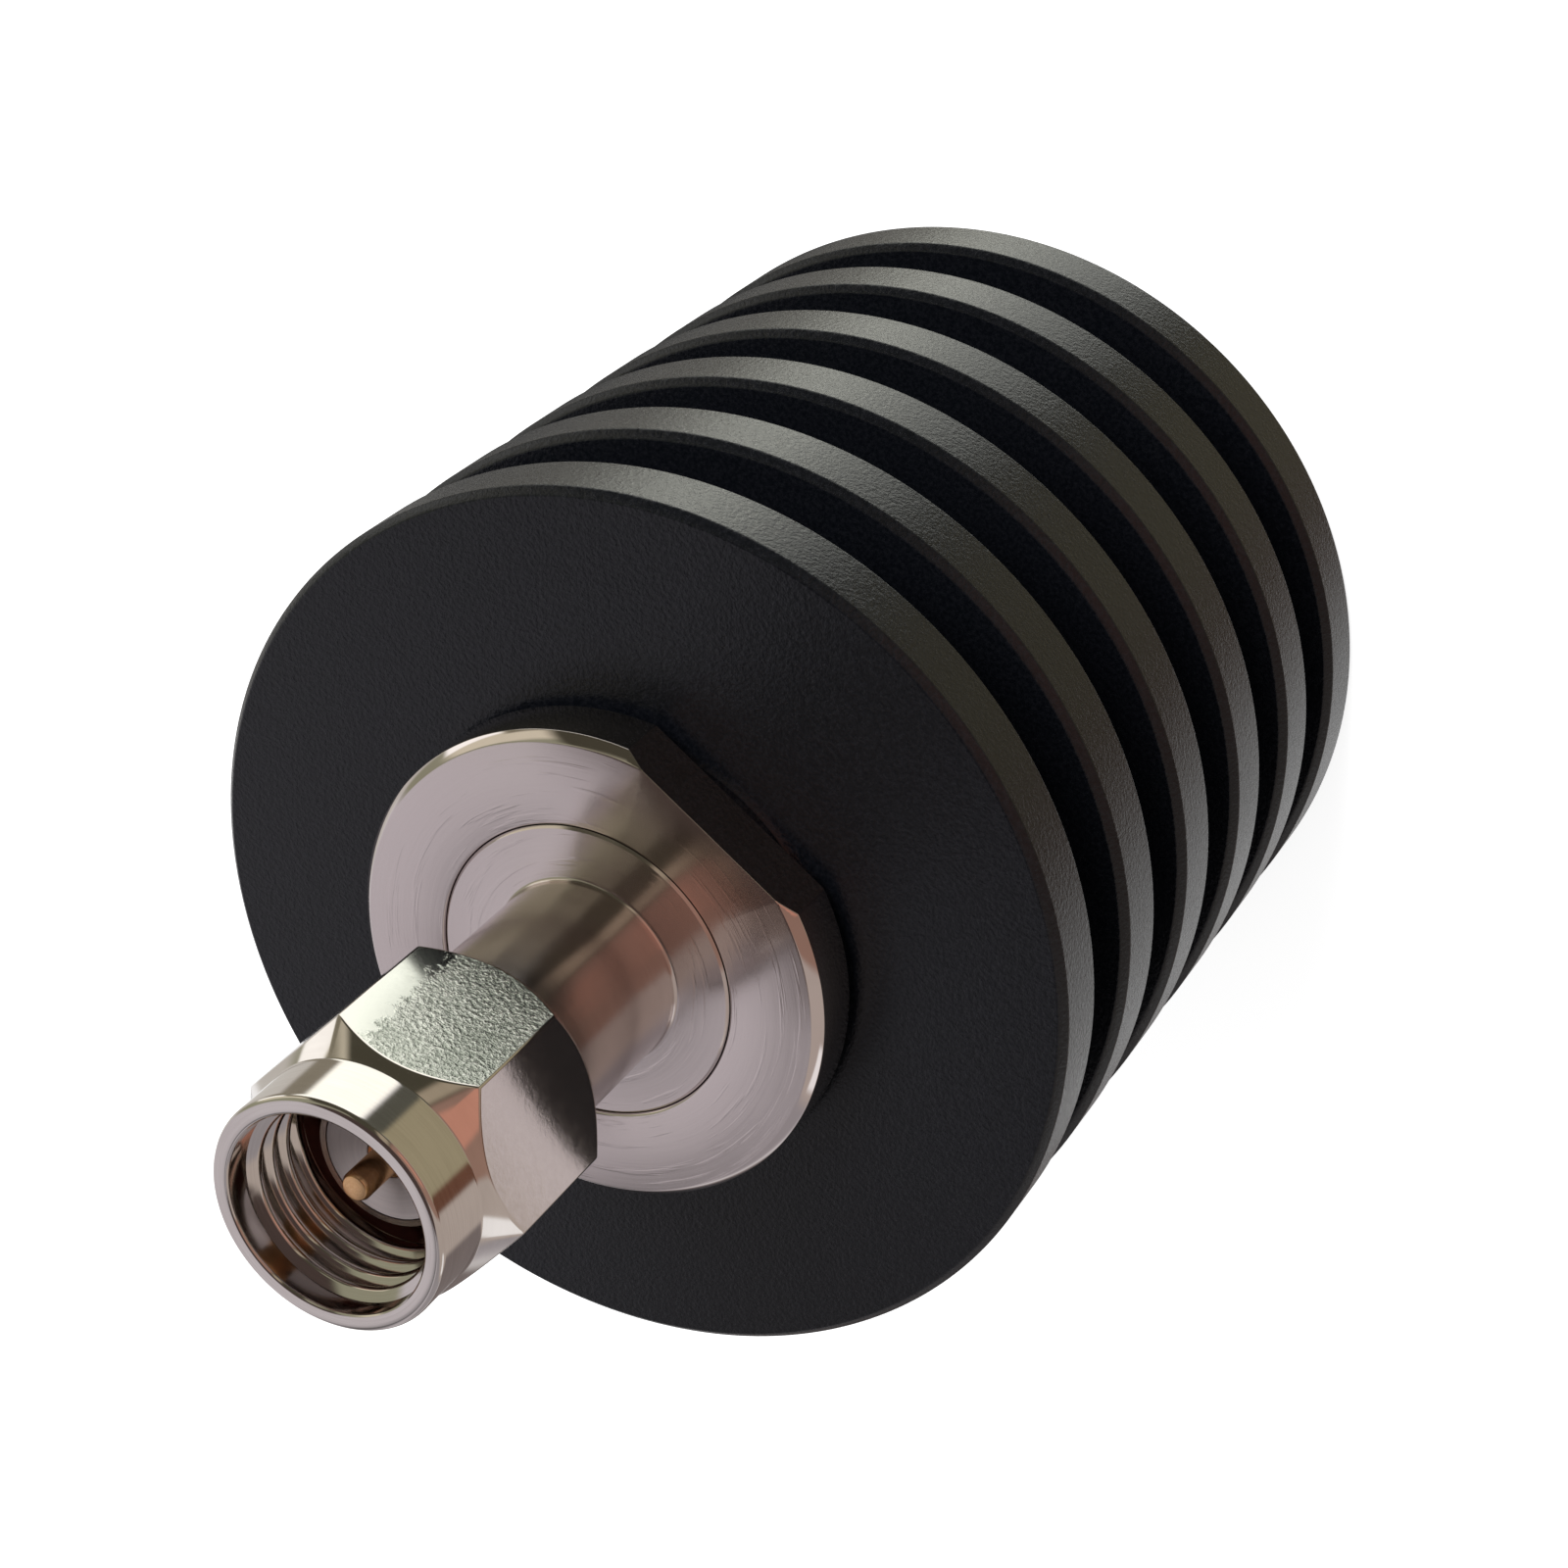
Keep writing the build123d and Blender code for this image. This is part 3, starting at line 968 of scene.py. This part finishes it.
@dataclass
class CouplingNut(TurnedPiece):
    """The hexagon with its round nose, bores and ring groove, and the thread inside it."""

    name = "hexagon_nut"
    node = "coupling_nut"
    finish = BRIGHT_NICKEL
    body = Body.NUT
    first = REST_TURN

    rear: float = 37.6 * MM
    front: float = 45.7 * MM
    across_flats: float = 8.0 * MM
    nose: float = 7.5 * MM
    nose_length: float = 2.1 * MM
    nose_edge: float = 0.2 * MM
    rear_diameter: float = 7.9 * MM
    cone_angle: float = 50.0
    bore: float = 6.5 * MM
    bore_chamfer: float = 0.15 * MM
    groove: float = 7.1 * MM
    groove_low: float = 38.3 * MM
    groove_high: float = 38.9 * MM
    thread: float = 6.35 * MM
    thread_length: float = 3.8 * MM
    mouth_break: float = 0.05 * MM
    edge_break: float = 0.06 * MM
    rough_flat: float = REST_TURN - 1.5 * CORNER_TURN
    flat_error: float = 0.002 * MM
    lean_error: float = 0.01
    aligned: float = 0.999
    pitch: float = 25.4 / 36 * MM
    crest: float = 2.86 * MM
    crest_round: float = 0.13 * MM
    crest_flat: float = 0.015 * MM
    crest_steps: int = 5
    flank_slope: float = 60.0
    sunk: float = 0.02 * MM
    turns: int = 4
    turn_steps: int = 120
    thread_start: float = 3.35 * MM
    run_out_steps: int = 18

    @property
    def ridge_root(self) -> float:
        """Returns the radius of the thread ridge's foot, which lies inside the bore's wall."""
        return self.thread / 2 + self.sunk

    def outline(self) -> List[Station]:
        """Returns the section, from the rear bore outwards and back through the mouth."""
        corner = self.across_flats / 2 / math.cos(math.radians(CORNER_TURN / 2))
        rise = math.tan(math.radians(self.cone_angle))
        nose, rear = self.nose / 2, self.rear_diameter / 2
        nose_root = self.front - self.nose_length
        thread, bore, groove = self.thread / 2, self.bore / 2, self.groove / 2
        thread_end = self.front - self.thread_length
        return [
            (bore + self.bore_chamfer, self.rear),
            (rear, self.rear),
            (corner, self.rear + (corner - rear) * rise),
            (corner, nose_root - (corner - nose) * rise),
            (nose, nose_root),
            (nose, self.front),
            (thread + self.mouth_break, self.front),
            (thread, self.front - self.mouth_break),
            (thread, thread_end),
            (bore, thread_end),
            (bore, self.groove_high),
            (groove, self.groove_high),
            (groove, self.groove_low),
            (bore, self.groove_low),
            (bore, self.rear + self.bore_chamfer),
        ]

    def work(self) -> None:
        """Rounds the nose, mills the six flats and breaks the edges."""
        self.bench.round_ring(self.nose / 2, self.front, self.nose_edge)
        for flat in range(2 * HALF_TURN // CORNER_TURN):
            angle = REST_TURN + CORNER_TURN / 2 + CORNER_TURN * flat
            self.bench.mill_flat(angle, self.across_flats / 2, 0.0)
        super().work()

    def build(self) -> Piece:
        """Makes the nut, dresses its flats and cuts the thread."""
        piece = super().build()
        self.bench.refinish(piece, PLAIN_NICKEL, self.on_flat)
        self.bench.refinish(piece, GRAINY_NICKEL, self.on_rough_flat)
        self.cut_thread()
        return piece

    def on_flat(self, face: Face) -> bool:
        """Returns True for a face of one of the six flats."""
        out = face.center.xy.dot(face.normal.xy)
        upright = abs(face.normal.z) < self.lean_error
        return upright and abs(out - self.across_flats / 2) < self.flat_error

    def on_rough_flat(self, face: Face) -> bool:
        """Returns True for a face of the two flats whose plating came out rough."""
        along = abs(face.normal.dot(direction(self.rough_flat, 0)))
        return along > self.aligned and self.on_flat(face)

    def ridge(self) -> List[Station]:
        """Returns the thread ridge's section: radii, and heights from its middle."""
        slope = math.radians(self.flank_slope)
        rounded = []
        for step in range(self.crest_steps + 1):
            angle = slope * step / self.crest_steps
            radius = self.crest + self.crest_round * (1 - math.cos(angle))
            rounded.append((radius, self.crest_flat + self.crest_round * math.sin(angle)))
        radius, height = rounded[-1]
        foot = height + (self.ridge_root - radius) / math.tan(slope)
        half = rounded + [(self.ridge_root, foot)]
        low = [(radius, -height) for radius, height in reversed(half)]
        return low + half

    def cut_thread(self) -> None:
        """Models the thread's turns as one right-hand ridge wound inside the bore."""
        section = self.ridge()
        start = self.front - self.thread_start
        self.bench.clear()
        bpy.ops.mesh.primitive_circle_add(vertices=len(section), radius=self.crest)
        piece = bpy.context.object
        piece.name = "thread_turns"
        piece.data.name = "thread_turns"
        for vertex, (radius, height) in zip(piece.data.vertices, section):
            vertex.co = (radius, 0, start + height)
        screw = piece.modifiers.new("winding", "SCREW")
        screw.axis = "Z"
        screw.angle = 2 * math.pi
        screw.screw_offset = self.pitch
        screw.iterations = self.turns
        screw.steps = self.turn_steps
        screw.render_steps = self.turn_steps
        screw.use_merge_vertices = False
        bpy.ops.object.modifier_apply(modifier=screw.name)
        self.run_out(piece, len(section))
        bpy.ops.object.mode_set(mode="EDIT")
        bpy.ops.mesh.select_all(action="SELECT")
        bpy.ops.mesh.fill_holes(sides=len(section))
        bpy.ops.mesh.normals_make_consistent(inside=False)
        self.bench.finish(piece, BRIGHT_NICKEL, Body.NUT)

    def run_out(self, piece: Piece, ring: int) -> None:
        """Lets both ends of the ridge sink into the bore's wall.

        Args:
            piece: The wound ridge.
            ring: How many points its section has.
        """
        last = len(piece.data.vertices) // ring - 1
        for number, vertex in enumerate(piece.data.vertices):
            step = number // ring
            height = min(1.0, (min(step, last - step) + 1) / self.run_out_steps)
            radius = math.hypot(vertex.co.x, vertex.co.y)
            factor = (self.ridge_root - (self.ridge_root - radius) * height) / radius
            vertex.co.x *= factor
            vertex.co.y *= factor


@dataclass
class CentrePin(TurnedPiece):
    """The gold contact and its line conductor, with the collar that the bead holds."""

    name = "contact_pin"
    node = "centre_pin"
    finish = GOLD
    closed = False

    tail_end: float = 23.4 * MM
    tail: float = 0.8 * MM
    tail_flat: float = 0.2 * MM
    rear: float = 25.6 * MM
    conductor: float = 1.27 * MM
    collar: float = 2.0 * MM
    collar_low: float = 28.1 * MM
    collar_high: float = 28.7 * MM
    mating_plane: float = 42.5 * MM
    tip: float = 0.92 * MM
    tip_length: float = 1.7 * MM
    taper_length: float = 0.15 * MM
    taper: float = 0.075 * MM
    edge_break: float = 0.02 * MM

    def outline(self) -> List[Station]:
        """Returns the section, from the tail's end to the tip."""
        top = self.mating_plane + self.tip_length
        tail, conductor = self.tail / 2, self.conductor / 2
        collar, tip = self.collar / 2, self.tip / 2
        return [
            (tail, self.tail_end),
            (tail, self.rear),
            (conductor, self.rear),
            (conductor, self.collar_low),
            (collar, self.collar_low),
            (collar, self.collar_high),
            (conductor, self.collar_high),
            (conductor, self.mating_plane),
            (tip, self.mating_plane),
            (tip, top - self.taper_length),
            (tip - self.taper, top),
        ]

    def work(self) -> None:
        """Breaks the edges, and presses the tail flat where the tab lies on it."""
        super().work()
        bpy.ops.object.mode_set(mode="OBJECT")
        for vertex in bpy.context.object.data.vertices:
            if vertex.co.z < self.rear - NEAR and vertex.co.y < -self.tail_flat:
                vertex.co.y = -self.tail_flat
        bpy.ops.object.mode_set(mode="EDIT")


@dataclass
class FrontDielectric(TurnedPiece):
    """The white sleeve that fills the line, whose face shows round the pin; its colour is
    darkened with painted shade.
    """

    name = "line_dielectric"
    node = "front_dielectric"
    finish = DIELECTRIC_PAINTED_SHADE

    rear: float = 28.1 * MM
    face: float = 42.5 * MM
    outside: float = 4.04 * MM
    inside: float = 1.33 * MM
    collar: float = 2.06 * MM
    collar_depth: float = 0.63 * MM
    edge_break: float = 0.03 * MM

    def outline(self) -> List[Station]:
        """Returns the section, from the collar's recess outwards and back."""
        inside, outside, collar = self.inside / 2, self.outside / 2, self.collar / 2
        floor = self.rear + self.collar_depth
        return [
            (collar, self.rear),
            (outside, self.rear),
            (outside, self.face),
            (inside, self.face),
            (inside, floor),
            (collar, floor),
        ]


@dataclass
class InterfaceGasket(TurnedPiece):
    """The silicone washer at the foot of the spigot."""

    name = "gasket_washer"
    node = "interface_gasket"
    finish = SILICONE

    low: float = 39.7 * MM
    thickness: float = 0.7 * MM
    inside: float = 5.06 * MM
    outside: float = 6.1 * MM
    edge_break: float = 0.12 * MM
    edge_steps: int = 3

    def outline(self) -> List[Station]:
        """Returns the washer's square section."""
        inside, outside, high = self.inside / 2, self.outside / 2, self.low + self.thickness
        return [(inside, self.low), (outside, self.low), (outside, high), (inside, high)]

    def work(self) -> None:
        """Rounds the washer softly."""
        self.bench.round_sharp(self.edge_break, self.edge_steps)


@dataclass
class InnerLoad:
    """The pieces behind the connector, which keep the frame's own shapes."""

    finishes: Tuple[Tuple[str, Finish], ...] = (
        ("retaining_ring", SPRING_BRONZE),
        ("support_bead", AMBER_BEAD),
        ("bead_retainer", TURNED_NICKEL),
        ("load_carrier", COPPER),
        ("load_cover", COPPER),
        ("cover_screws", STEEL),
        ("chip_solder", SOLDER),
        ("ceramic_substrate", CERAMIC),
        ("resistor_film", RESISTOR_FILM),
        ("input_pad", GOLD),
        ("ground_pad", GOLD),
        ("input_tab", GOLD),
    )

    def dress(self) -> None:
        """Gives each hidden node its finish."""
        for node, finish in self.finishes:
            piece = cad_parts[node]
            for slot in piece.material_slots:
                slot.material = finish.build()
            LOG.info("%s: kept from the frame, %s", node, finish.name)


@dataclass(frozen=True)
class Card:
    """A soft-edged card that only the part's gloss reflects, hung on an unseen white dome."""

    name: str
    azimuths: Span
    elevations: Span
    glow: Tuple[float, float, float]
    softness: float = 4.0

    def mask(self, sheet: NodeSheet, azimuth: Wire, elevation: Wire) -> Wire:
        """Returns 1 on the card and 0 off it.

        Args:
            sheet: The dome's nodes.
            azimuth: The direction in degrees from +X.
            elevation: The height over the horizon in degrees.
        """
        low, high = self.azimuths
        away = sheet.wrap(azimuth - (low + high) / 2, HALF_TURN)
        across = self.edge(sheet, abs(away), (high - low) / 2)
        low, high = self.elevations
        along = self.edge(sheet, abs(elevation - (low + high) / 2), (high - low) / 2)
        return across * along

    def edge(self, sheet: NodeSheet, distance: Wire, half: float) -> Wire:
        """Returns 1 where a distance is under half a width, with a soft edge."""
        return 1 - sheet.ramp(distance, half - self.softness, half + self.softness)


@dataclass
class Studio:
    """Camera, floor, lamp and reflecting cards round the part."""

    aim: Tuple[float, float, float] = (0.0, 0.0, 16.94 * MM)
    distance: float = 111.53 * MM
    azimuth: float = -93.15
    elevation: float = 53.07
    roll: float = -133.28
    lens: float = 74.25
    sensor: float = 36.0
    clip: Span = (1 * MM, 10.0)
    lamp_azimuth: float = -30
    lamp_elevation: float = 40
    lamp_distance: float = 0.5
    lamp_size: Span = (0.35, 0.25)
    lamp_power: float = 3.0
    floor_size: float = 3.0
    floor_colour: Colour = rgba(0.8, 0.8, 0.8)
    floor_glow: float = 0.95
    room_light: float = 0.4
    dome_radius: float = 0.6
    dome_segments: int = 96
    cards: Tuple[Card, ...] = (
        Card("ceiling", (4, 205), (-4, 91), (0.6, 0.57, 0.6)),
        Card("dark_post", (97, 110), (-4, 91), (0.12, 0.115, 0.12), 8),
        Card("ceiling_shade", (120, 205), (-4, 91), (0.34, 0.32, 0.335), 8),
        Card("sand_wall", (-24, 42), (-8, 78), (0.33, 0.33, 0.24)),
        Card("upper_gloom", (-24, 42), (60, 91), (0.08, 0.07, 0.055), 4),
        Card("lamp_glow", (-22, 24), (6, 30), (0.75, 0.7, 0.55)),
        Card("dark_screen", (-95, -14), (-8, 91), (0.07, 0.065, 0.045)),
        Card("pale_screen", (-203, -150), (-91, 91), (0.48, 0.42, 0.38)),
        Card("pale_bench", (-178, -150), (-46, -41.5), (0.64, 0.58, 0.59), 0.3),
        Card("crest_glow", (162, 178), (-4, 16), (1.0, 1.0, 1.0), 2),
        Card("khaki_gap", (-86, -74), (10, 75), (0.4, 0.34, 0.25), 3),
        Card("khaki_glow", (-44, -14), (42, 56), (0.32, 0.31, 0.23), 4),
        Card("khaki_post", (-16, 2), (-8, 13), (0.24, 0.22, 0.16), 2),
        Card("doorway", (3, 24), (-4, 9.5), (1.3, 1.3, 1.25), 1.5),
        Card("warm_screen", (-154, -88), (-8, 91), (0.33, 0.205, 0.16), 3),
        Card("copper_glow", (-128, -96), (16, 34), (0.6, 0.29, 0.21), 3),
        Card("window", (-56, 0), (-91, -9), (1.5, 1.52, 1.4)),
        Card("glare", (-34, -4), (-59.5, -47), (4.0, 4.05, 3.6), 5),
        Card("pale_corner", (20, 62), (-91, -4), (0.62, 0.6, 0.56)),
        Card("olive_strip", (-2, 23), (-91, -8), (0.27, 0.245, 0.19)),
        Card("sand_bench", (-150, -72), (-91, -8), (0.36, 0.32, 0.21)),
        Card("window_frame", (-77, -58), (-91, -5), (0.1, 0.1, 0.08), 3),
        Card("copper_strip", (-157, -141), (-91, -8), (0.15, 0.07, 0.045), 3),
        Card("grey_bench", (104, 163), (-91, -8), (0.2, 0.17, 0.165)),
        Card("floor_shade", (36, 104), (-91, -47), (0.08, 0.08, 0.08), 3),
        Card("pale_floor", (120, 182), (-91, -47), (0.8, 0.8, 0.8), 3),
        Card("overhead", (-180, 180), (61, 91), (0.07, 0.05, 0.045), 3),
        Card("flag", (-70, -39.4), (-47, -41.3), (0.2, 0.23, 0.19), 0.4),
    )

    def face_part(
        self, thing: Piece, out: Vector, distance: float, roll: float = 0.0
    ) -> None:
        """Puts a camera or a lamp into the scene so that it faces the part.

        Args:
            thing: The camera or lamp.
            out: The direction from the part to it.
            distance: Its distance from the part.
            roll: Its turn round its own line of sight, in degrees.
        """
        level = (-out).to_track_quat("-Z", "Y")
        thing.location = Vector(self.aim) + out * distance
        thing.rotation_mode = "QUATERNION"
        thing.rotation_quaternion = level @ Quaternion((0, 0, 1), math.radians(roll))
        bpy.context.scene.collection.objects.link(thing)

    def place_camera(self) -> None:
        """Puts the camera where the photograph was taken from."""
        camera = bpy.data.objects.new("camera", bpy.data.cameras.new("camera"))
        camera.data.lens = self.lens
        camera.data.sensor_width = self.sensor
        camera.data.clip_start, camera.data.clip_end = self.clip
        out = direction(self.azimuth, self.elevation)
        self.face_part(camera, out, self.distance, self.roll)
        bpy.context.scene.camera = camera

    def seen_rays(self, sheet: NodeSheet) -> Wire:
        """Returns 1 for the rays that see the white background, and 0 for diffuse ones."""
        rays = sheet.tree.nodes.new("ShaderNodeLightPath")
        names = ("Is Camera Ray", "Is Glossy Ray", "Is Transmission Ray")
        camera, glossy, through = (Wire(sheet, rays.outputs[name]) for name in names)
        return camera + glossy + through

    def lay_floor(self) -> None:
        """Lays the pale floor, white where it is lit, which keeps the part's shadow."""
        Bench.clear()
        bpy.ops.mesh.primitive_plane_add(size=self.floor_size, location=(0, 0, 0))
        floor = bpy.context.object
        floor.name = "floor"
        floor.visible_glossy = False
        material, sheet = new_material("floor")
        pale = {"Color": self.floor_colour}
        plain = sheet.add("BsdfDiffuse", pale)
        glow = sheet.add("Emission", {**pale, "Strength": self.floor_glow})
        lit = sheet.add("AddShader", {0: plain, 1: glow})
        seen = self.seen_rays(sheet)
        sheet.surface(sheet.add("MixShader", {0: seen, 1: plain, 2: lit}))
        floor.data.materials.append(material)

    def hang_cards(self) -> None:
        """Hangs the cards that shape the metal's reflections on a dome that nothing else sees."""
        Bench.clear()
        bpy.ops.mesh.primitive_uv_sphere_add(
            segments=self.dome_segments,
            ring_count=self.dome_segments // 2,
            radius=self.dome_radius,
            location=(0, 0, 0),
        )
        dome = bpy.context.object
        dome.name = "card_dome"
        bpy.ops.object.shade_smooth()
        dome.visible_camera = False
        dome.visible_diffuse = False
        dome.visible_shadow = False
        dome.visible_transmission = False
        material, sheet = new_material("card_dome")
        material.cycles.emission_sampling = "NONE"
        x, y, z = sheet.split()
        rise = sheet.add("Math", {0: z / self.dome_radius}, operation="ARCSINE")
        azimuth, elevation = sheet.turn(x, y), rise * math.degrees(1)
        glow: Any = rgba(1, 1, 1)
        for card in self.cards:
            glow = sheet.mix(card.mask(sheet, azimuth, elevation), glow, rgba(*card.glow))
        sheet.surface(sheet.add("Emission", {"Color": glow, "Strength": 1.0}))
        dome.data.materials.append(material)

    def hang_lamp(self) -> None:
        """Hangs one soft lamp that faces the part."""
        lamp = bpy.data.lights.new("window", "AREA")
        lamp.shape = "RECTANGLE"
        lamp.size, lamp.size_y = self.lamp_size
        lamp.energy = self.lamp_power
        holder = bpy.data.objects.new("window", lamp)
        holder.visible_glossy = False
        out = direction(self.lamp_azimuth, self.lamp_elevation)
        self.face_part(holder, out, self.lamp_distance)

    def light_world(self) -> None:
        """Fills the room with a soft even light, white where the camera looks past the part."""
        world = bpy.data.worlds.new("room")
        bpy.context.scene.world = world
        world.use_nodes = True
        sheet = NodeSheet(world.node_tree)
        room, white = (
            sheet.add("Background", {"Color": rgba(1, 1, 1), "Strength": strength})
            for strength in (self.room_light, 1.0)
        )
        seen = self.seen_rays(sheet)
        both = sheet.add("MixShader", {0: seen, 1: room, 2: white})
        sheet.add("OutputWorld", {"Surface": both})

    def build(self) -> None:
        """Sets the whole studio up."""
        bpy.context.scene.view_settings.view_transform = "Standard"
        self.place_camera()
        self.lay_floor()
        self.light_world()
        self.hang_cards()
        self.hang_lamp()


def main() -> None:
    """Builds the studio and every piece."""
    logging.basicConfig(level=logging.INFO, format="%(message)s")
    Studio().build()
    fine, medium, small = (Bench(segments) for segments in (288, 192, 64))
    pieces: List[TurnedPiece] = [
        Heatsink(fine),
        ClampFlange(fine),
        ConnectorBody(medium),
        CouplingNut(medium),
        CentrePin(small),
        FrontDielectric(medium),
        InterfaceGasket(medium),
    ]
    for piece in pieces:
        piece.build()
    InnerLoad().dress()


if __name__ == "__main__":
    main()
